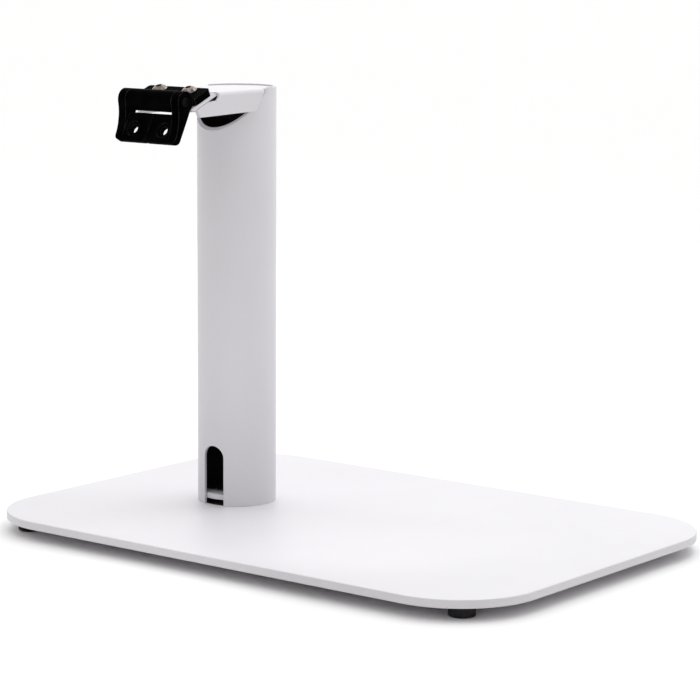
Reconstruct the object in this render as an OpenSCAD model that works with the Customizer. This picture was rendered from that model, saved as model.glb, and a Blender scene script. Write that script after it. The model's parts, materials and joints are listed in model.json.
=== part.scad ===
// Counter stand for a customer display: base plate, tubular pole, head bracket and friction hinge.
// Origin: middle of the base at the level the feet stand on. +X along the base's length, away from the
// pole. -Y is the side the display faces. +Z up.

/* [Base] */
// Length of the base plate
base_length = 470; // [420:5:520]
// Width of the base plate
base_width = 320; // [280:5:360]
// Thickness of the base plate
base_thickness = 6; // [5:0.5:8]
// Corner radius of the base plate
base_corner = 64; // [45:1:80]
// Chamfer around both faces of the base plate
base_chamfer = 0.5; // [0.3:0.1:1]

/* [Feet] */
// Diameter of each foot
foot_diameter = 19; // [17:1:22]
// Height of each foot
foot_height = 9; // [7.5:0.5:10]
// Distance of the feet from the short edges
foot_inset_x = 34; // [28:1:40]
// Distance of the feet from the long edges
foot_inset_y = 29; // [22:1:34]

/* [Pole] */
// Outside diameter of the pole
pole_diameter = 60; // [60:60]
// Wall thickness of the pole
pole_wall = 2.5; // [2:0.5:3]
// Height of the pole above the base plate
pole_height = 318; // [250:2:400]
// Distance of the pole's axis from the middle of the base, towards -X
pole_offset = 108; // [80:1:130]
// Width of the cable slot at the pole's foot
slot_width = 18; // [14:0.5:20]
// Height of the cable slot
slot_height = 46; // [35:1:60]
// Turn of the cable slot about the pole's axis, from straight ahead towards +X
slot_turn = 2.8; // [0:0.2:6]
// Distance that the mouth's cut starts behind the pole's axis
mouth_setback = 2; // [1:0.5:4]

/* [Bracket] */
// Sheet thickness of the bracket
sheet = 2.5; // [2:0.5:2.5]
// Depth of the bracket's sides at the nose
bracket_depth = 17.5; // [16:0.5:18]
// How much shallower the sides are at the pole
bracket_taper = 1.5; // [0:0.5:2]
// Distance from the pole's axis to the bend of the nose
bend_reach = 58.4; // [54:0.2:70]
// Slope of the nose below horizontal
nose_slope = 22.5; // [20:0.5:25]
// Length of the nose along its slope
nose_length = 28.5; // [27:0.5:29]

/* [Hinge] */
// Length of the hinge along its pin
hinge_length = 59; // [57:1:59]
// Diameter of the knuckles
knuckle_diameter = 16; // [15:0.5:16]
// Length of the middle knuckle, with its side gaps
knuckle_length = 45; // [43:1:45]
// Thickness of each leaf
leaf_thickness = 5.5; // [5:0.5:6]
// Distance from the pin to the rear face of each leaf
leaf_back = 7.5; // [7.5:0.1:7.8]
// Distance from the pin to the far edge of the moving leaf
moving_leaf_length = 31.5; // [30:0.5:34]
// Distance from the pin to the far edge of the fixed leaf
fixed_leaf_length = 29; // [28:0.5:31]
// Spacing of the two screw holes in each leaf
hole_spacing = 29; // [26:1:30]
// Distance from the pin to the screw holes
hole_reach = 21.8; // [20.8:0.2:22]
// Lean of the moving leaf from vertical, foot forward
leaf_lean = 27; // [20:1:40]

/* [Hidden] */
$fn = 96;
slack = 0.02;                // radial play of a screw or bush in its own hole
over = 1;                    // how far a cutting shape passes a face
join = 0.1;                  // overlap of two stretches of the same piece

// Base and pole heights
plate_top = foot_height + base_thickness;
pole_top = plate_top + pole_height;
pole_r = pole_diameter / 2;
bore_r = pole_r - pole_wall;
foot_x = base_length / 2 - foot_inset_x;
foot_y = base_width / 2 - foot_inset_y;

// Foot fixings: M4
foot_round = 1.5;
foot_pocket_r = 5;
foot_pocket_depth = 4.5;
foot_washer_thickness = 0.8;
m4_r = 2;
m4_head_r = 3.8;
m4_head_height = 2.5;
foot_thread_depth = 4.5;     // blind, so the plate's top stays whole
foot_hole_r = 2.3;

// Mounting disc and its M6 screws
disc_thickness = 4;
disc_gap = 4.3;              // space between the plate and the disc
disc_bottom = plate_top + disc_gap;
pole_screw_circle_r = 17;
pole_screw_angles = [45, 135, 225, 315];
m6_r = 3;
m6_clearance_r = 3.3;
m6_head_r = 5.25;
m6_head_height = 3.3;
m6_washer_r = 6;
m6_washer_thickness = 1.6;
m6_socket_af = 4;            // hexagon socket, across flats
m6_socket_depth = 2;
weld_leg = 3;
weld_gap_angle = 50;         // the disc's weld stops either side of the slot

// Bracket
bracket_top = pole_top - 1;
bracket_half = pole_r;
bend_outer_r = 3.5;
bend_inner_r = bend_outer_r - sheet;
nose_bend_turn = bend_outer_r * tan(nose_slope / 2);
side_bottom = bracket_top - bracket_depth;
side_rear_top = 2.1;         // distances of the side's corners in front of the pole's axis
side_rear_bottom = 12.7;
side_front_setback = 5.8;    // the nose passes the sides' front edge by this much
side_front_lean = 30;        // of that edge from vertical
seam = 0.3;                  // open seam between the nose and each side
relief_r = 3.1;              // corner relief where the bends meet
relief_setback = 1;          // of its centre behind the nose's bend
relief_drop = 3;             // the side's edge starts this far below the nose at the bend
relief_taper = 10;           // and meets it again this far down the slope
tongue_gap = 0.1;            // radial gap between the top's tongue and the pole's bore
nose_corner = 2;
bead_leg = 1.5;
bead_start = 11.5;           // distance of the bead's lower end in front of the pole's axis
bead_length = 11;

// Hinge, in a frame with its origin on the pin, +Y along the leaf and +Z out of its front face
knuckle_r = knuckle_diameter / 2;
leaf_front = leaf_thickness - leaf_back;
leaf_gap = 9.4;              // distance from the pin to the leaf's edge beside the other leaf's knuckle
knuckle_side_gap = 0.3;
leaf_corner = 4;
leaf_edge_round = 1.5;
cheek_blend_r = 40;
knuckle_blend_r = 6;
counterbore_r = 5.75;
counterbore_depth = 1.5;
groove_width = 1.6;
groove_depth = 0.7;
notch_width = 3;
notch_depth = 1.6;
pin_r = 3;
pin_recess = 0.5;
pin_play = 0.05;
clip_bore_r = 6;
bush_length = 4;
clip_count = 7;
clip_gap = 0.2;
clip_slit = 1.2;
nut_af = 10;
nut_height = 5;
screw_tail = 1.5;
hinge_head_r = 6;
hinge_head_height = 3.7;

// Pin position: the fixed leaf's rear face lies on the nose
pin_reach = 32.6;            // along the nose from its bend
pin_y = -bend_reach - pin_reach * cos(nose_slope) - leaf_back * sin(nose_slope);
pin_z = bracket_top - pin_reach * sin(nose_slope) + leaf_back * cos(nose_slope);

// ---- shared shapes and frames ----

module at_pole() {
    translate([-pole_offset, 0, 0]) children();
}

// Frame on the nose's top face: origin at the bend, +Y back up the slope, +Z out of the face
module nose_frame() {
    at_pole() translate([0, -bend_reach, bracket_top]) rotate([nose_slope, 0, 0]) children();
}

module fixed_leaf_frame() {
    at_pole() translate([0, pin_y, pin_z]) rotate([nose_slope, 0, 0]) children();
}

module moving_leaf_frame() {
    at_pole() translate([0, pin_y, pin_z]) rotate([270 - leaf_lean, 0, 0]) rotate([0, 180, 0]) children();
}

// Extrudes a (Y, Z) outline along X, centred
module along_x(length) {
    rotate([90, 0, 90]) translate([0, 0, -length / 2]) linear_extrude(length) children();
}

module tube(r_out, r_in, length) {
    difference() {
        cylinder(r = r_out, h = length);
        translate([0, 0, -over]) cylinder(r = r_in, h = length + 2 * over);
    }
}

// Button-head screw: the head's seat is at z = 0, the shank goes down
module button_screw(r, length, head_r, head_height, socket_af, socket_depth) {
    crown_r = (head_r * head_r + head_height * head_height) / (2 * head_height);
    difference() {
        union() {
            translate([0, 0, -length]) cylinder(r = r, h = length);
            intersection() {
                translate([0, 0, head_height - crown_r]) sphere(r = crown_r);
                cylinder(r = head_r, h = head_height);
            }
        }
        translate([0, 0, head_height - socket_depth])
            cylinder(r = socket_af / 2 / cos(30), h = socket_depth + over, $fn = 6);
    }
}

// ---- base ----

module base_plate() {
    half_l = base_length / 2;
    half_w = base_width / 2;
    c = base_chamfer;
    t = base_thickness;
    color("white") difference() {
        translate([0, 0, foot_height]) union() {
            for (sx = [-1, 1], sy = [-1, 1])
                translate([sx * (half_l - base_corner), sy * (half_w - base_corner), 0])
                    rotate_extrude() polygon([[0, 0], [base_corner - c, 0], [base_corner, c],
                                              [base_corner, t - c], [base_corner - c, t], [0, t]]);
            along_x(base_length - 2 * base_corner) edge_outline(half_w);
            rotate([0, 0, 90]) along_x(base_width - 2 * base_corner) edge_outline(half_l);
        }
        at_pole() for (a = pole_screw_angles) rotate([0, 0, a]) translate([pole_screw_circle_r, 0, 0])
            cylinder(r = m6_clearance_r, h = plate_top + over);
        at_feet() cylinder(r = m4_r + slack, h = foot_height + foot_thread_depth);
    }
}

// Section of the base plate, from edge to edge
module edge_outline(half) {
    c = base_chamfer;
    t = base_thickness;
    polygon([[-half + c, 0], [half - c, 0], [half, c], [half, t - c],
             [half - c, t], [-half + c, t], [-half, t - c], [-half, c]]);
}

module at_feet() {
    for (sx = [-1, 1], sy = [-1, 1]) translate([sx * foot_x, sy * foot_y, 0]) children();
}

module foot(sx, sy) {
    r = foot_diameter / 2;
    color("black") translate([sx * foot_x, sy * foot_y, 0]) difference() {
        rotate_extrude() {
            translate([0, foot_round]) square([r, foot_height - foot_round]);
            square([r - foot_round, foot_round + over]);
            translate([r - foot_round, foot_round]) circle(r = foot_round);
        }
        translate([0, 0, -over]) cylinder(r = foot_pocket_r, h = foot_pocket_depth + over);
        cylinder(r = foot_hole_r, h = foot_height + over);
    }
}

module foot_front_left() { foot(-1, -1); }
module foot_front_right() { foot(1, -1); }
module foot_rear_left() { foot(-1, 1); }
module foot_rear_right() { foot(1, 1); }

module foot_washers() {
    color("silver") at_feet() translate([0, 0, foot_pocket_depth - foot_washer_thickness])
        tube(foot_pocket_r - 0.5, m4_r + slack, foot_washer_thickness);
}

module foot_screws() {
    seat = foot_pocket_depth - foot_washer_thickness;
    reach = foot_height + foot_thread_depth - 0.5 - seat;
    color("silver") at_feet() translate([0, 0, seat]) rotate([180, 0, 0])
        button_screw(m4_r, reach, m4_head_r, m4_head_height, 2.5, 1.3);
}

// ---- pole ----

module pole_tube() {
    color("white") at_pole() difference() {
        translate([0, 0, plate_top]) tube(pole_r, bore_r, pole_height);
        mouth_cut();
        slot_cut();
    }
}

// Everything in front of the 45 degree plane through the mouth
module mouth_cut() {
    reach = pole_diameter + 2 * mouth_setback;
    translate([0, mouth_setback, pole_top]) along_x(pole_diameter + 2 * over)
        polygon([[0, 0], [over, over], [-reach, over], [-reach, -reach]]);
}

// Arch-topped and open at the pole's lower end, through the wall on the -Y side only
module slot_cut() {
    arch_r = slot_width / 2;
    translate([0, 0, plate_top]) rotate([90, 0, slot_turn]) {
        translate([-arch_r, -over, 0]) cube([slot_width, slot_height - arch_r + over, pole_r + over]);
        translate([0, slot_height - arch_r, 0]) cylinder(r = arch_r, h = pole_r + over);
    }
}

module pole_mounting_disc() {
    color("white") at_pole() difference() {
        translate([0, 0, disc_bottom]) cylinder(r = bore_r, h = disc_thickness);
        at_pole_screws() cylinder(r = m6_r + slack, h = pole_height);
    }
}

module at_pole_screws() {
    for (a = pole_screw_angles) rotate([0, 0, a]) translate([pole_screw_circle_r, 0, 0]) children();
}

// Fillet beneath the disc, against the pole's bore, interrupted at the slot
module disc_weld_bead() {
    color("silver") at_pole() translate([0, 0, disc_bottom])
        rotate([0, 0, slot_turn - 90 + weld_gap_angle / 2])
        rotate_extrude(angle = 360 - weld_gap_angle)
            polygon([[bore_r, 0], [bore_r, -weld_leg], [bore_r - weld_leg, 0]]);
}

module pole_screws() {
    seat = foot_height - m6_washer_thickness;
    reach = disc_bottom + disc_thickness - seat;
    color("silver") at_pole() at_pole_screws() translate([0, 0, seat]) rotate([180, 0, 0])
        button_screw(m6_r, reach, m6_head_r, m6_head_height, m6_socket_af, m6_socket_depth);
}

module pole_screw_washers() {
    color("silver") at_pole() at_pole_screws() translate([0, 0, foot_height - m6_washer_thickness])
        tube(m6_washer_r, m6_r + slack, m6_washer_thickness);
}

// ---- head bracket ----

module head_bracket() {
    color("white") union() {
        difference() {
            union() {
                at_pole() difference() {
                    intersection() {
                        channel();
                        along_x(2 * pole_diameter) side_outline();
                    }
                    corner_reliefs();
                }
                nose();
            }
            at_pole() intersection() {
                cylinder(r = pole_r, h = pole_top);
                below_mouth();
            }
            at_nose_holes() translate([0, 0, -2 * sheet]) cylinder(r = m6_clearance_r, h = 3 * sheet);
        }
        top_tongue();
    }
}

// Half-round end of the bracket's top, closing the pole inside its bore
module top_tongue() {
    r = bore_r - tongue_gap;
    at_pole() translate([0, 0, bracket_top - sheet]) linear_extrude(sheet) intersection() {
        circle(r = r);
        translate([-r, -side_rear_top - join]) square([2 * r, r + side_rear_top + join]);
    }
}

// Inverted U section, run along Y
module channel() {
    length = bend_reach + nose_length;
    translate([0, 0, bracket_top]) rotate([90, 0, 0]) linear_extrude(length) difference() {
        channel_outline(bracket_half, bend_outer_r, 0);
        channel_outline(bracket_half - sheet, bend_inner_r, sheet);
    }
}

// Section with two round upper corners, its top at -drop
module channel_outline(half, r, drop) {
    low = bracket_depth + over;
    translate([-half, -low]) square([2 * half, low - drop - r]);
    translate([-half + r, -drop - r - over]) square([2 * half - 2 * r, r + over]);
    for (s = [-1, 1]) translate([s * (half - r), -drop - r]) circle(r = r);
}

// Outline of the bracket's sides and of its top, seen along X
module side_outline() {
    slope_drop = tan(nose_slope);
    under = bracket_top - (sheet + seam) / cos(nose_slope);
    front = bend_reach + (nose_length - side_front_setback) * cos(nose_slope);
    front_top = under - (front - bend_reach) * slope_drop;
    front_bottom_y = -front + (front_top - side_bottom) * tan(side_front_lean);
    bend_start = -bend_reach + nose_bend_turn;
    taper_reach = relief_taper * cos(nose_slope);
    polygon([[-side_rear_top, bracket_top + over], [-side_rear_top, bracket_top - 1],
             [-side_rear_bottom, side_bottom + bracket_taper], [front_bottom_y, side_bottom],
             [-front, front_top], [-bend_reach - taper_reach, under - taper_reach * slope_drop],
             [bend_start, under - relief_drop], [bend_start, bracket_top + over]]);
}

// Slanted nose with its bend into the top
module nose() {
    turn = nose_bend_turn;
    nose_frame() translate([0, 0, -sheet]) linear_extrude(sheet) difference() {
        translate([-bracket_half, -nose_length]) square([2 * bracket_half, nose_length - turn + join]);
        for (s = [-1, 1]) {
            translate([s * bracket_half, -nose_length]) rotate([0, 0, s > 0 ? 90 : 0])
                corner_trim(nose_corner);
            translate([s * (bracket_half - sheet), relief_setback]) circle(r = relief_r);
        }
    }
    at_pole() translate([0, -bend_reach + turn, bracket_top - bend_outer_r])
        along_x(2 * (bracket_half - bend_outer_r)) difference() {
            intersection() {
                circle(r = bend_outer_r);
                polygon([[0, 0], [over, 0], [over, 2 * bend_outer_r],
                         [-2 * bend_outer_r * tan(nose_slope), 2 * bend_outer_r]]);
            }
            circle(r = bend_inner_r);
        }
}

// What a round corner of radius r leaves of its square, the corner at the origin
module corner_trim(r) {
    difference() {
        translate([-over, -over]) square(r + over);
        translate([r, r]) circle(r = r);
    }
}

module below_mouth() {
    translate([0, mouth_setback, pole_top]) along_x(2 * pole_diameter)
        polygon([[0, 0], [2 * pole_r, 0], [2 * pole_r, -pole_height], [-pole_height, -pole_height]]);
}

// Round holes where the bends of the top, the sides and the nose would meet
module corner_reliefs() {
    for (s = [-1, 1])
        translate([s * (bracket_half - sheet), -bend_reach + relief_setback, bracket_top - sheet])
            rotate([0, s * 45, 0]) cylinder(r = relief_r, h = 4 * sheet, center = true);
}

module at_nose_holes() {
    for (s = [-1, 1]) nose_frame() translate([s * hole_spacing / 2, hole_reach - pin_reach, 0]) children();
}

// A bead in each corner between a side's inner face and the cut face of the pole's mouth
module bracket_weld_beads() {
    color("silver") at_pole() for (s = [-1, 1])
        translate([s * (bracket_half - sheet), -bead_start, pole_top - mouth_setback - bead_start])
            rotate([-45, 0, 0]) linear_extrude(bead_length)
                polygon([[0, 0], [-s * bead_leg, 0], [0, -bead_leg]]);
}

// ---- hinge ----

module leaf_profile(blend_r, length) {
    reach = sqrt(pow(knuckle_r + blend_r, 2) - pow(blend_r + leaf_front, 2));
    circle(r = knuckle_r);
    leaf_section(0, length);
    difference() {
        polygon([[0, 0], [reach, leaf_front + blend_r], [reach, leaf_front], [0, leaf_front]]);
        translate([reach, leaf_front + blend_r]) circle(r = blend_r);
    }
}

// Section of the flat part of a leaf, from a given distance to its round far edge
module leaf_section(start, length) {
    r = leaf_edge_round;
    translate([start, -leaf_back]) square([length - r - start, leaf_thickness]);
    translate([start, -leaf_back + r]) square([length - start, leaf_thickness - 2 * r]);
    for (z = [-leaf_back + r, leaf_front - r]) translate([length - r, z]) circle(r = r);
}

// Width and far corners of a leaf, tall enough to hold its knuckles
module leaf_plan(length) {
    half = hinge_length / 2;
    c = leaf_corner;
    translate([0, 0, -knuckle_r - over]) linear_extrude(knuckle_diameter + 2 * over) {
        translate([-half, -knuckle_r - over]) square([hinge_length, knuckle_r + over + length - c]);
        translate([-half + c, 0]) square([hinge_length - 2 * c, length]);
        for (s = [-1, 1]) translate([s * (half - c), length - c]) circle(r = c);
    }
}

module at_leaf_holes() {
    for (s = [-1, 1]) translate([s * hole_spacing / 2, hole_reach, -leaf_back]) children();
}

module hinge_fixed_leaf() {
    middle = knuckle_length - 2 * knuckle_side_gap;
    color("black") fixed_leaf_frame() difference() {
        intersection() {
            leaf_plan(fixed_leaf_length);
            union() {
                along_x(hinge_length) leaf_section(leaf_gap, fixed_leaf_length);
                along_x(middle) leaf_profile(knuckle_blend_r, fixed_leaf_length);
            }
        }
        along_x(hinge_length) circle(r = clip_bore_r);
        at_leaf_holes() translate([0, 0, -over]) cylinder(r = m6_clearance_r, h = leaf_thickness + 2 * over);
    }
}

module hinge_moving_leaf() {
    cheek = (hinge_length - knuckle_length) / 2;
    color("black") moving_leaf_frame() difference() {
        intersection() {
            leaf_plan(moving_leaf_length);
            union() {
                along_x(hinge_length) leaf_section(leaf_gap, moving_leaf_length);
                for (s = [-1, 1]) translate([s * (hinge_length - cheek) / 2, 0, 0])
                    along_x(cheek) leaf_profile(cheek_blend_r, moving_leaf_length);
            }
        }
        along_x(hinge_length + 2 * over) circle(r = pin_r);
        at_leaf_holes() {
            translate([0, 0, -over]) cylinder(r = m6_clearance_r, h = leaf_thickness + 2 * over);
            translate([0, 0, leaf_thickness - counterbore_depth])
                cylinder(r = counterbore_r, h = counterbore_depth + over);
        }
        leaf_groove();
    }
}

// Shallow V along the middle of the moving leaf's front face, ending in a notch in its far edge
module leaf_groove() {
    w = groove_width / 2;
    n = notch_width / 2;
    translate([0, 0, leaf_front]) rotate([-90, 0, 0]) linear_extrude(moving_leaf_length + over)
        polygon([[-w, 0], [0, groove_depth], [w, 0], [w, -over], [-w, -over]]);
    translate([0, moving_leaf_length, -leaf_back - over]) linear_extrude(leaf_thickness + 2 * over)
        polygon([[-n, over], [-n, 0], [0, -notch_depth], [n, 0], [n, over]]);
}

module hinge_pin() {
    color("silver") moving_leaf_frame() along_x(hinge_length - 2 * pin_recess) circle(r = pin_r);
}

module hinge_bushes() {
    end = knuckle_length / 2 - knuckle_side_gap - bush_length / 2;
    color("silver") fixed_leaf_frame() for (s = [-1, 1]) translate([s * end, 0, 0])
        along_x(bush_length) difference() {
            circle(r = clip_bore_r - slack);
            circle(r = pin_r + pin_play);
        }
}

// C-shaped spring clips side by side on the pin, their slits towards the leaf
module friction_clips() {
    room = knuckle_length - 2 * knuckle_side_gap - 2 * bush_length;
    pitch = room / clip_count;
    color("silver") fixed_leaf_frame() for (i = [0 : clip_count - 1])
        translate([(i + 0.5) * pitch - room / 2, 0, 0]) along_x(pitch - clip_gap) difference() {
            circle(r = clip_bore_r - slack);
            circle(r = pin_r + pin_play);
            translate([0, -clip_slit / 2]) square([clip_bore_r + over, clip_slit]);
        }
}

module hinge_screws() {
    reach = leaf_thickness + sheet + m6_washer_thickness + nut_height + screw_tail;
    color("dimgray") at_nose_holes() translate([0, 0, leaf_thickness])
        button_screw(m6_r, reach, hinge_head_r, hinge_head_height, m6_socket_af, m6_socket_depth);
}

module hinge_nut_washers() {
    color("silver") at_nose_holes() translate([0, 0, -sheet - m6_washer_thickness])
        tube(m6_washer_r, m6_r + slack, m6_washer_thickness);
}

module hinge_nuts() {
    color("silver") at_nose_holes()
        translate([0, 0, -sheet - m6_washer_thickness - nut_height]) difference() {
        cylinder(r = nut_af / 2 / cos(30), h = nut_height, $fn = 6);
        translate([0, 0, -over]) cylinder(r = m6_r + slack, h = nut_height + 2 * over);
    }
}

base_plate();
foot_front_left();
foot_front_right();
foot_rear_left();
foot_rear_right();
foot_washers();
foot_screws();
pole_tube();
pole_mounting_disc();
disc_weld_bead();
pole_screws();
pole_screw_washers();
head_bracket();
bracket_weld_beads();
hinge_fixed_leaf();
hinge_moving_leaf();
hinge_pin();
hinge_bushes();
friction_clips();
hinge_screws();
hinge_nut_washers();
hinge_nuts();
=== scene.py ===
import json
import math

import bmesh
import bpy
from mathutils import Matrix, Vector


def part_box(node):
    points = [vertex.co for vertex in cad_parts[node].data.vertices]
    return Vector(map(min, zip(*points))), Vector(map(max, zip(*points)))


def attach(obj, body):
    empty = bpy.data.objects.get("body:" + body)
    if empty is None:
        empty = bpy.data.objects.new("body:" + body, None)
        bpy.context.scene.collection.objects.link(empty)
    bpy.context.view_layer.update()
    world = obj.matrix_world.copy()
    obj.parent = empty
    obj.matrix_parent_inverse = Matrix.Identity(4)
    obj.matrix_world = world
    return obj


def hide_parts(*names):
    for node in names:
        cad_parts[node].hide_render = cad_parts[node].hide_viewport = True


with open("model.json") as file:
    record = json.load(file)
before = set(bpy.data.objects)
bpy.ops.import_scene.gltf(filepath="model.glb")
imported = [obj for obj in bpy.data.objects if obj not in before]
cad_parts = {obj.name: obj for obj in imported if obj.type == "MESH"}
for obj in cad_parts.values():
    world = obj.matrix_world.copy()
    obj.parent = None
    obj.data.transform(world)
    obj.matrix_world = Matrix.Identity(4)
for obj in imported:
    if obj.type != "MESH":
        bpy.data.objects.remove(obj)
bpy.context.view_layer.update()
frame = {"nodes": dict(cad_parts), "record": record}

nodes = frame["nodes"]

# ---------------------------------------------------------------- node helpers


class Tree:
    """A material's node tree with one Principled shader, and short calls that add and link nodes."""

    def __init__(self, name):
        self.material = bpy.data.materials.new(name)
        self.material.use_nodes = True
        self.tree = self.material.node_tree
        self.tree.nodes.clear()
        self.shader = self.add("ShaderNodeBsdfPrincipled")
        out = self.add("ShaderNodeOutputMaterial")
        self.link(self.shader.outputs[0], out.inputs[0])
        self.place = self.add("ShaderNodeTexCoord").outputs["Object"]

    def add(self, kind, **settings):
        node = self.tree.nodes.new(kind)
        for key, value in settings.items():
            setattr(node, key, value)
        return node

    def link(self, source, target):
        self.tree.links.new(source, target)

    def feed(self, value, socket):
        if isinstance(value, bpy.types.NodeSocket):
            self.link(value, socket)
        else:
            socket.default_value = value

    def math(self, operation, *values, clamp=False):
        node = self.add("ShaderNodeMath", operation=operation, use_clamp=clamp)
        for value, socket in zip(values, node.inputs):
            self.feed(value, socket)
        return node.outputs[0]

    def noise(self, size, detail=2.0, roughness=0.5, stretch=(1, 1, 1)):
        """Noise whose features are about `size` metres across."""
        place = self.place
        if stretch != (1, 1, 1):
            mapping = self.add("ShaderNodeMapping")
            mapping.inputs["Scale"].default_value = stretch
            self.link(place, mapping.inputs["Vector"])
            place = mapping.outputs[0]
        node = self.add("ShaderNodeTexNoise")
        self.link(place, node.inputs["Vector"])
        node.inputs["Scale"].default_value = 1 / size
        node.inputs["Detail"].default_value = detail
        node.inputs["Roughness"].default_value = roughness
        return node.outputs["Fac"]

    def remap(self, value, low, high, to_low, to_high):
        node = self.add("ShaderNodeMapRange", clamp=True)
        keys = ("Value", "From Min", "From Max", "To Min", "To Max")
        for v, key in zip((value, low, high, to_low, to_high), keys):
            self.feed(v, node.inputs[key])
        return node.outputs[0]

    def mix(self, factor, a, b):
        """Colour a where factor is 0, colour b where it is 1."""
        node = self.add("ShaderNodeMix", data_type="RGBA")
        self.feed(factor, node.inputs[0])
        for value, socket in ((a, node.inputs[6]), (b, node.inputs[7])):
            self.feed((*value, 1) if isinstance(value, tuple) and len(value) == 3 else value, socket)
        return node.outputs[2]

    def distance_from_axis(self, x, y):
        """Distance in metres from the vertical axis through (x, y)."""
        node = self.add("ShaderNodeSeparateXYZ")
        self.link(self.place, node.inputs[0])
        dx = self.math("SUBTRACT", node.outputs[0], x)
        dy = self.math("SUBTRACT", node.outputs[1], y)
        squares = [self.math("MULTIPLY", d, d) for d in (dx, dy)]
        return self.math("SQRT", self.math("ADD", *squares))

    def coordinate(self, axis):
        node = self.add("ShaderNodeSeparateXYZ")
        self.link(self.place, node.inputs[0])
        return node.outputs[axis]

    def edges(self, radius, low, high):
        """1 on sharp edges and 0 on flat ground, over about `radius` metres."""
        bevel = self.add("ShaderNodeBevel", samples=6)
        bevel.inputs["Radius"].default_value = radius
        dot = self.add("ShaderNodeVectorMath", operation="DOT_PRODUCT")
        self.link(bevel.outputs[0], dot.inputs[0])
        self.link(self.add("ShaderNodeNewGeometry").outputs["Normal"], dot.inputs[1])
        return self.remap(dot.outputs["Value"], high, low, 0.0, 1.0)

    def relief(self, layers, edge_radius):
        """Rounded edges, then bumps on top: layers are (height value, height in metres)."""
        normal = None
        if edge_radius:
            bevel = self.add("ShaderNodeBevel", samples=4)
            bevel.inputs["Radius"].default_value = edge_radius
            normal = bevel.outputs[0]
        for height, depth in layers:
            bump = self.add("ShaderNodeBump")
            bump.inputs["Strength"].default_value = 1.0
            bump.inputs["Distance"].default_value = depth
            self.link(height, bump.inputs["Height"])
            if normal is not None:
                self.link(normal, bump.inputs["Normal"])
            normal = bump.outputs[0]
        if normal is not None:
            self.link(normal, self.shader.inputs["Normal"])

    def set(self, **values):
        for key, value in values.items():
            socket = self.shader.inputs[key.replace("_", " ")]
            self.feed((*value, 1) if isinstance(value, tuple) and len(value) == 3 else value, socket)


# ---------------------------------------------------------------- materials

WHITE = (0.722, 0.708, 0.738)
# near-black painted shade, put inside the pole and under it where shade falls
PAINTED_BORE_SHADE = (0.016, 0.015, 0.015)
SHADE_EDGE = 0.0003           # width over which the painted shade fades in
SHADE_MARGIN = 0.001          # how far from a face the painted shade starts or stops
SHADE_REACH = (0.010, 0.017)  # where the coat starts and ends fading into painted shade, behind the disc's front edge


def powder_coat(name, bore=None, reach=None):
    """Fine-textured white powder coat. Only one of bore and reach is given.

    bore is (x, y, radius, softness, bottom, top) of the near-black painted shade inside the pole.
    reach is (start, end) along Y, over which the coat fades into painted shade inside the pole.
    """
    t = Tree(name)
    grain = t.noise(0.0011, 3.0, 0.6)
    peel = t.noise(0.0042, 1.0, 0.4)
    cloud = t.noise(0.09, 2.0, 0.5)
    speck = t.remap(t.noise(0.0009, 1.0, 0.5), 0.25, 0.45, 1.0, 0.0)
    dull, clean, dusty = (tuple(share * c for c in WHITE) for share in (0.985, 1.01, 0.86))
    tone = t.mix(t.remap(cloud, 0.35, 0.65, 0.0, 1.0), dull, clean)
    tone = t.mix(t.math("MULTIPLY", speck, 0.10), tone, dusty)
    rough = t.remap(grain, 0.3, 0.7, 0.42, 0.56)
    inside = None
    if bore:
        x, y, radius, softness, bottom, top = bore
        inside = t.remap(t.distance_from_axis(x, y), radius, radius + softness, 1.0, 0.0)
        for start, end in ((bottom, bottom + softness), (top, top - softness)):
            inside = t.math("MULTIPLY", inside, t.remap(t.coordinate(2), start, end, 0.0, 1.0))
    if reach:
        ragged = t.math("MULTIPLY_ADD", t.noise(0.004, 2.0, 0.5), 0.004, t.coordinate(1))
        inside = t.remap(ragged, *reach, 0.0, 1.0)
    # painted shade: where this mask is 1 the coat turns near-black, inside the pole where shade falls
    if inside is not None:
        tone = t.mix(inside, tone, PAINTED_BORE_SHADE)
        rough = t.remap(inside, 0.0, 1.0, rough, 0.7)
    t.set(Base_Color=tone, Roughness=rough, IOR=1.5)
    t.relief([(peel, 0.00008), (grain, 0.00006)], 0.0005)
    return t.material


def black_casting(name):
    """Satin black finish on a die-cast hinge, worn thin along its edges, where the lighter edge colour is
    also a painted highlight.
    """
    t = Tree(name)
    grain = t.noise(0.0008, 3.0, 0.6)
    cloud = t.noise(0.012, 2.0, 0.5)
    scuff_and_highlight_breakup = t.remap(t.noise(0.0035, 3.0, 0.6), 0.45, 0.62, 0.0, 1.0)
    # painted highlight along the edges, partly wear: a bevel mask broken up by patchy noise
    edge_wear_and_highlight = t.math("MULTIPLY", t.edges(0.0005, 0.80, 0.96), t.math("MULTIPLY_ADD", scuff_and_highlight_breakup, 0.6, 0.4))
    tone = t.mix(t.remap(cloud, 0.35, 0.65, 0.0, 1.0), (0.0010, 0.0010, 0.0013), (0.0026, 0.0026, 0.0031))
    # the edges turn a lighter grey: painted highlight and wear together
    tone = t.mix(t.math("MULTIPLY", edge_wear_and_highlight, 0.6), tone, (0.16, 0.157, 0.15))
    t.set(Base_Color=tone, Roughness=t.remap(grain, 0.3, 0.7, 0.30, 0.42), IOR=1.02)
    t.relief([(grain, 0.00002)], 0.0006)
    return t.material


def rubber(name):
    t = Tree(name)
    grain = t.noise(0.0006, 3.0, 0.6)
    dust = t.noise(0.006, 2.0, 0.5)
    tone = t.mix(t.remap(dust, 0.5, 0.8, 0.0, 0.25), (0.009, 0.009, 0.010), (0.035, 0.034, 0.033))
    t.set(Base_Color=tone, Roughness=t.remap(grain, 0.3, 0.7, 0.72, 0.88), IOR=1.5)
    t.relief([(grain, 0.00003)], 0.0003)
    return t.material


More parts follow.
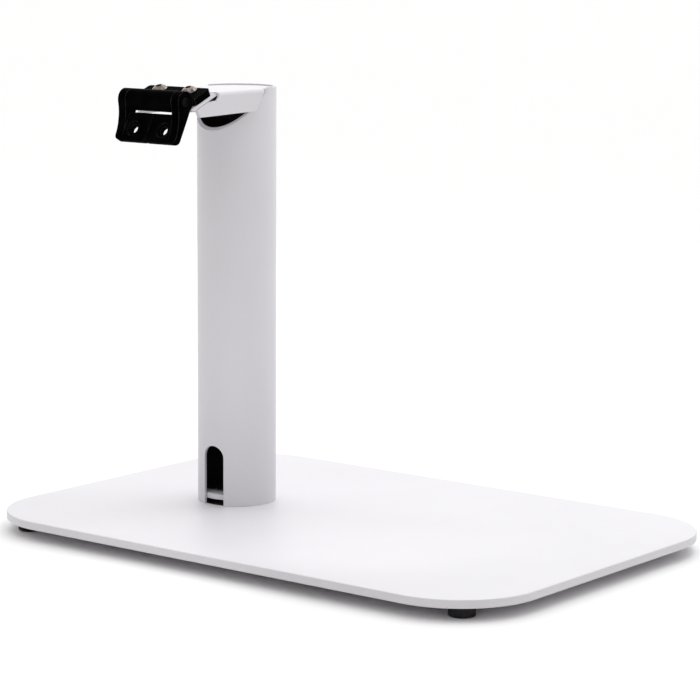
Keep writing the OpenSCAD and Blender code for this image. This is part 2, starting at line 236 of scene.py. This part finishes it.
def plated_steel(name, low, high, rough_low, rough_high, scratch=0.00001):
    t = Tree(name)
    cloud = t.noise(0.0022, 3.0, 0.55)
    fine = t.noise(0.0003, 2.0, 0.5)
    tone = t.mix(t.remap(cloud, 0.3, 0.7, 0.0, 1.0), low, high)
    t.set(Base_Color=tone, Metallic=1.0, Roughness=t.remap(cloud, 0.3, 0.7, rough_low, rough_high))
    t.relief([(fine, scratch)], 0.0002)
    return t.material


pole_low, pole_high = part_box("pole_tube")
pole_x, pole_y = (pole_low.x + pole_high.x) / 2, (pole_low.y + pole_high.y) / 2
disc_low, disc_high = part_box("pole_mounting_disc")
bore_radius = (disc_high.x - disc_low.x) / 2

coat = powder_coat("powder_coat")
looks = {
    "white_powder_coat": coat,
    "foot_rubber": rubber("moulded_rubber"),
    "zinc_steel": plated_steel("bright_zinc", (0.50, 0.51, 0.52), (0.68, 0.69, 0.70), 0.24, 0.42),
    "black_hinge": black_casting("satin_black"),
    "hinge_steel": plated_steel("ground_steel", (0.40, 0.40, 0.41), (0.55, 0.55, 0.56), 0.18, 0.34),
    "bush_brass": plated_steel("brass", (0.60, 0.42, 0.16), (0.74, 0.55, 0.24), 0.22, 0.38),
    "bronzed_steel": plated_steel("bronzed", (0.050, 0.040, 0.036), (0.36, 0.305, 0.28), 0.12, 0.32),
}
for part in frame["record"]["subparts"]:
    for slot in nodes[part["node"]].material_slots:
        slot.material = looks[part["material_slot"]]
nodes["hinge_pin"].material_slots[0].material = plated_steel(
    "blackened_pin", (0.002, 0.002, 0.002), (0.004, 0.004, 0.004), 0.40, 0.55)
plate_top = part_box("base_plate")[1].z
lid_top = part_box("head_bracket")[1].z
# painted shade: the pole's bore below the lid, the plate's ring under the pole and the back of the disc are
# coloured near-black where they lie in shade
nodes["pole_tube"].material_slots[0].material = powder_coat(
    "powder_coat_painted_bore_shade",
    bore=(pole_x, pole_y, bore_radius + 0.0002, SHADE_EDGE, 0.0, lid_top - SHADE_MARGIN))
nodes["base_plate"].material_slots[0].material = powder_coat(
    "powder_coat_painted_shade_under_pole",
    bore=(pole_x, pole_y, bore_radius, SHADE_EDGE, plate_top - SHADE_MARGIN, plate_top + SHADE_MARGIN))
nodes["pole_mounting_disc"].material_slots[0].material = powder_coat(
    "powder_coat_fading_to_painted_shade", reach=tuple(disc_low.y + far for far in SHADE_REACH))

# ---------------------------------------------------------------- fasteners

AROUND = 72                  # points around each turned or threaded shape
SHARP_ANGLE = math.radians(28)
M6_PITCH = 0.001
THREAD_STEPS = 10            # rings to each turn of thread
THREAD_DEPTH = 0.00036
THREAD_CREST = 0.12          # share of half a turn that is flat at the crest
THREAD_FLANK = 0.7           # share of half a turn that slopes
THREAD_TAPER = 0.8           # turns over which a screw's tip tapers
TIP_DEPTH = THREAD_DEPTH * 1.5
HEAD_EDGE = 0.0004           # height of a screw head's rim
DOME_STEPS = 12
DOME_EASED = 6               # dome steps over which the rim's height is worked off
DOME_END = 0.68              # smallest radius of the dome, as a share of the socket's size
SOCKET_RIM = 0.64            # radius of the socket's rim, as a share of its size
SOCKET_RIM_STEP = 0.00002
SOCKET_MOUTH = 1.06          # size of the socket's chamfer, as a share of its size
SOCKET_MOUTH_DEPTH = 0.0003
SOCKET_DEPTH = 0.0019
SOCKET_POINT = 0.0024        # depth of the cone under the socket
SOCKET_POINT_RADIUS = 0.0003
NUT_FLAT = 0.97              # radius of a nut's flat end, as a share of half its size
NUT_CHAMFER = (0.35, 0.7, 1.0)
NUT_CHAMFER_ANGLE = math.radians(30)
NUT_MOUTH = 1.12             # radius of the chamfer at a nut's bore, as a share of the bore
NUT_MOUTH_DEPTH = 0.0006


def hexagon(across_flats):
    """Radius of a hexagon at an angle."""
    return lambda angle: across_flats / 2 / math.cos((angle + math.pi / 6) % (math.pi / 3) - math.pi / 6)


def round_shape(radius):
    return lambda angle: radius


def thread_ring(radius, z, pitch):
    """Radius at an angle of a screw thread's crossing with the plane at z, flat at crest and root."""
    def at(angle):
        turn = (z / pitch - angle / math.tau) % 1
        ramp = abs(2 * turn - 1)
        return radius - THREAD_DEPTH * min(1, max(0, (ramp - THREAD_CREST) / THREAD_FLANK))
    return at


def chamfered(shape, limit):
    return lambda angle: min(shape(angle), limit)


def narrowed(shape, amount):
    return lambda angle: shape(angle) - amount


def skin(bm, rings, close):
    """Faces over rings of (z, radius at an angle).

    close joins the last ring to the first; otherwise the ends are capped.
    """
    rows = []
    for z, shape in rings:
        row = []
        for i in range(AROUND):
            angle = math.tau * i / AROUND
            row.append(bm.verts.new((shape(angle) * math.cos(angle), shape(angle) * math.sin(angle), z)))
        rows.append(row)
    pairs = list(zip(rows, rows[1:])) + ([(rows[-1], rows[0])] if close else [])
    for low, high in pairs:
        for i in range(AROUND):
            j = (i + 1) % AROUND
            bm.faces.new((low[i], low[j], high[j], high[i]))
    if not close:
        for row in (rows[0], rows[-1]):
            bm.faces.new(row if row is rows[-1] else list(reversed(row)))


def finished(name, shapes, body, material, slot, *replaced):
    """One piece from shapes of (rings, close, matrix)."""
    bm = bmesh.new()
    for rings, close, matrix in shapes:
        first = len(bm.verts)
        skin(bm, rings, close)
        bm.verts.ensure_lookup_table()
        for vertex in bm.verts[first:]:
            vertex.co = matrix @ vertex.co
    bmesh.ops.recalc_face_normals(bm, faces=bm.faces)
    mesh = bpy.data.meshes.new(name)
    bm.to_mesh(mesh)
    bm.free()
    mesh.materials.append(material)
    piece = bpy.data.objects.new(name, mesh)
    bpy.context.scene.collection.objects.link(piece)
    mesh.shade_smooth()
    mesh.set_sharp_from_angle(angle=SHARP_ANGLE)
    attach(piece, body)
    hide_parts(*replaced)
    return piece


def along(axis, origin):
    """Frame with +Z along axis and its origin there."""
    return Matrix.Translation(origin) @ axis.to_track_quat("Z", "Y").to_matrix().to_4x4()


def groups(node, key):
    """A CAD node's points, sorted by what key says of each."""
    found = {}
    for vertex in nodes[node].data.vertices:
        found.setdefault(key(vertex.co), []).append(vertex.co.copy())
    return list(found.values())


def measured(points, axis):
    """Middle, both ends along axis and largest radius of a turned solid's points.

    Each point's place across the axis and its height along it follow.
    """
    across = [p - axis * p.dot(axis) for p in points]
    low = Vector([min(p[i] for p in across) for i in range(3)])
    high = Vector([max(p[i] for p in across) for i in range(3)])
    middle = (low + high) / 2
    radius = max((p - middle).length for p in across)
    heights = [p.dot(axis) for p in points]
    return middle, min(heights), max(heights), radius, across, heights


def button_screw(points, axis, shank_radius, socket):
    """Rings of a button-head screw with a hexagon socket and a threaded shank, in place of CAD points."""
    middle, tail, top, head_radius, across, heights = measured(points, axis)
    seat = min(h for p, h in zip(across, heights) if (p - middle).length > shank_radius * 1.3)
    height = top - seat
    rim = socket / 2
    centre_height = (rim ** 2 + height ** 2 - head_radius ** 2) / (2 * height)
    crown = math.hypot(head_radius, centre_height)
    rings = []
    length = seat - tail
    steps = int(length / M6_PITCH * THREAD_STEPS)
    for i in range(steps + 1):
        z = -length + length * i / steps
        taper = min(1, (z + length) / (THREAD_TAPER * M6_PITCH))
        ring = thread_ring(shank_radius, z, M6_PITCH)
        rings.append((z, narrowed(ring, TIP_DEPTH * (1 - taper))))
    edge = HEAD_EDGE
    rings += [(0, round_shape(shank_radius)), (0, round_shape(head_radius - edge / 2))]
    rings += [(edge / 2, round_shape(head_radius)), (edge, round_shape(head_radius))]
    for i in range(1, DOME_STEPS + 1):
        z = edge + (height - edge) * math.sin(math.pi / 2 * i / DOME_STEPS)
        lift = edge * max(0, 1 - i / DOME_EASED)
        radius = math.sqrt(max(0, crown ** 2 - (z - lift - centre_height) ** 2))
        if radius > socket * DOME_END:
            rings.append((z, round_shape(min(radius, head_radius))))
    rim_radius = socket * SOCKET_RIM
    rim_height = centre_height + math.sqrt(crown ** 2 - rim_radius ** 2)
    rings += [(rim_height, round_shape(rim_radius)),
              (rim_height - SOCKET_RIM_STEP, hexagon(socket * SOCKET_MOUTH)),
              (height - SOCKET_MOUTH_DEPTH, hexagon(socket)),
              (height - SOCKET_DEPTH, hexagon(socket)),
              (height - SOCKET_POINT, round_shape(SOCKET_POINT_RADIUS))]
    return rings, False, along(axis, middle + axis * seat)


def hexagon_nut(points, axis, bore, across_flats):
    """Rings of a nut with both faces chamfered, in place of CAD points."""
    middle, low, high, radius, *_ = measured(points, axis)
    shape = hexagon(across_flats)
    drop = (radius - across_flats / 2) * math.tan(NUT_CHAMFER_ANGLE)
    flat = across_flats / 2 * NUT_FLAT
    mouth = bore * NUT_MOUTH
    rings = [(low, round_shape(flat))]
    rings += [(low + drop * k, chamfered(shape, flat + (radius - flat) * k)) for k in NUT_CHAMFER]
    rings += [(high - drop * k, chamfered(shape, flat + (radius - flat) * k)) for k in reversed(NUT_CHAMFER)]
    rings += [(high, round_shape(flat)), (high, round_shape(mouth)),
              (high - NUT_MOUTH_DEPTH, round_shape(bore)),
              (low + NUT_MOUTH_DEPTH, round_shape(bore)), (low, round_shape(mouth))]
    return rings, True, along(axis, middle)


def centre(node):
    low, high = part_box(node)
    return (low + high) / 2


M6_RADIUS = 0.003
M6_NUT_FLATS = 0.010
M6_SOCKET = 0.004
NUT_BORE = M6_RADIUS * 1.005
nose_normal = (centre("hinge_nut_washers") - centre("hinge_nuts")).normalized()


def side(point):
    return point.x > pole_x


def quarter(point):
    return point.x > pole_x, point.y > pole_y


finished("hinge_screws_threaded", [button_screw(g, nose_normal, M6_RADIUS, M6_SOCKET)
                                   for g in groups("hinge_screws", side)],
         "stand", looks["bronzed_steel"], "bronzed_steel", "hinge_screws")
finished("hinge_nuts_chamfered", [hexagon_nut(g, nose_normal, NUT_BORE, M6_NUT_FLATS)
                                  for g in groups("hinge_nuts", side)],
         "stand", looks["zinc_steel"], "zinc_steel", "hinge_nuts")
finished("pole_screws_threaded", [button_screw(g, Vector((0, 0, -1)), M6_RADIUS, M6_SOCKET)
                                  for g in groups("pole_screws", quarter)],
         "stand", looks["zinc_steel"], "zinc_steel", "pole_screws")

# ---------------------------------------------------------------- floor, lights, camera

FLOOR_SIZE = 40
FLOOR_WHITE = (0.985, 0.978, 0.976)


def make_floor():
    mesh = bpy.data.meshes.new("floor")
    bm = bmesh.new()
    bmesh.ops.create_grid(bm, x_segments=8, y_segments=8, size=FLOOR_SIZE)
    bm.to_mesh(mesh)
    bm.free()
    floor = bpy.data.objects.new("floor", mesh)
    bpy.context.scene.collection.objects.link(floor)
    t = Tree("floor_white")
    t.set(Base_Color=FLOOR_WHITE, Roughness=0.9)
    t.shader.inputs["Specular IOR Level"].default_value = 0.2
    mesh.materials.append(t.material)


CAMERA_YAW, CAMERA_PITCH, CAMERA_ROLL = 38.079, 9.131, 0.335
CAMERA_PLACE = (1.229542, -1.566690, 0.462456)
CAMERA_LENS = 140.0


def camera_axes(yaw, pitch, roll):
    """Right, up and back, as the columns of a matrix. Yaw is from +Y towards -X, pitch downwards."""
    a, e, r = (math.radians(v) for v in (yaw, pitch, roll))
    back = Vector((math.sin(a) * math.cos(e), -math.cos(a) * math.cos(e), math.sin(e)))
    right = Vector((math.cos(a), math.sin(a), 0))
    up = back.cross(right)
    right, up = right * math.cos(r) + up * math.sin(r), up * math.cos(r) - right * math.sin(r)
    return Matrix((right, up, back)).transposed()


def make_camera():
    data = bpy.data.cameras.new("camera")
    data.sensor_width, data.lens = 36.0, CAMERA_LENS
    data.clip_start, data.clip_end = 0.1, 100
    camera = bpy.data.objects.new("camera", data)
    bpy.context.scene.collection.objects.link(camera)
    axes = camera_axes(CAMERA_YAW, CAMERA_PITCH, CAMERA_ROLL)
    camera.matrix_world = Matrix.Translation(CAMERA_PLACE) @ axes.to_4x4()
    bpy.context.scene.camera = camera


AWAY = Vector((-math.sin(math.radians(CAMERA_YAW)), math.cos(math.radians(CAMERA_YAW)), 0))
RIGHT = Vector((math.cos(math.radians(CAMERA_YAW)), math.sin(math.radians(CAMERA_YAW)), 0))
UP = Vector((0, 0, 1))
WORLD_GAINS = ((AWAY, 1.0), (UP, 1.2))


def make_world():
    """White surroundings, brightest overhead and beyond the object."""
    world = bpy.data.worlds.new("studio")
    bpy.context.scene.world = world
    world.use_nodes = True
    tree = world.node_tree
    tree.nodes.clear()
    out = tree.nodes.new("ShaderNodeOutputWorld")
    background = tree.nodes.new("ShaderNodeBackground")
    background.inputs["Color"].default_value = (1, 1, 1, 1)
    tree.links.new(background.outputs[0], out.inputs[0])
    direction = tree.nodes.new("ShaderNodeTexCoord").outputs["Generated"]
    total = None
    for axis, gain in WORLD_GAINS:
        dot = tree.nodes.new("ShaderNodeVectorMath")
        dot.operation = "DOT_PRODUCT"
        tree.links.new(direction, dot.inputs[0])
        dot.inputs[1].default_value = axis
        clip = tree.nodes.new("ShaderNodeMath")
        clip.operation = "MAXIMUM"
        tree.links.new(dot.outputs["Value"], clip.inputs[0])
        clip.inputs[1].default_value = 0
        lobe = tree.nodes.new("ShaderNodeMath")
        lobe.operation = "MULTIPLY_ADD"
        tree.links.new(clip.outputs[0], lobe.inputs[0])
        lobe.inputs[1].default_value = gain
        if total is None:
            lobe.inputs[2].default_value = 0
        else:
            tree.links.new(total, lobe.inputs[2])
        total = lobe.outputs[0]
    tree.links.new(total, background.inputs["Strength"])


def soft_box(name, place, target, width, height, power):
    data = bpy.data.lights.new(name, "AREA")
    data.shape, data.size, data.size_y, data.energy = "RECTANGLE", width, height, power
    light = bpy.data.objects.new(name, data)
    bpy.context.scene.collection.objects.link(light)
    light.location = place
    light.rotation_mode = "QUATERNION"
    light.rotation_quaternion = (Vector(target) - Vector(place)).to_track_quat("-Z", "Y")
    light.visible_camera = False


MIDDLE = Vector((0, 0, 0.1))
POLE_FOOT = Vector((pole_x, pole_y, 0.05))
LIGHTS = (  # name, target, (right, away, up) from the target, width, height, power in watts
    ("key", MIDDLE, (0.6, 0.25, 1.1), 0.7, 0.7, 2.6),
    ("behind", MIDDLE, (0, 1.6, 0.6), 2.2, 1.2, 2.15),
    ("foot_fill", POLE_FOOT, (0, -0.22, 0.07), 0.30, 0.10, 0.045),
)


def make_lights():
    for name, target, (right, away, up), width, height, power in LIGHTS:
        place = target + RIGHT * right + AWAY * away + UP * up
        soft_box(name, place, target, width, height, power)


make_floor()
make_camera()
make_world()
make_lights()
bpy.context.scene.view_settings.view_transform = "Standard"
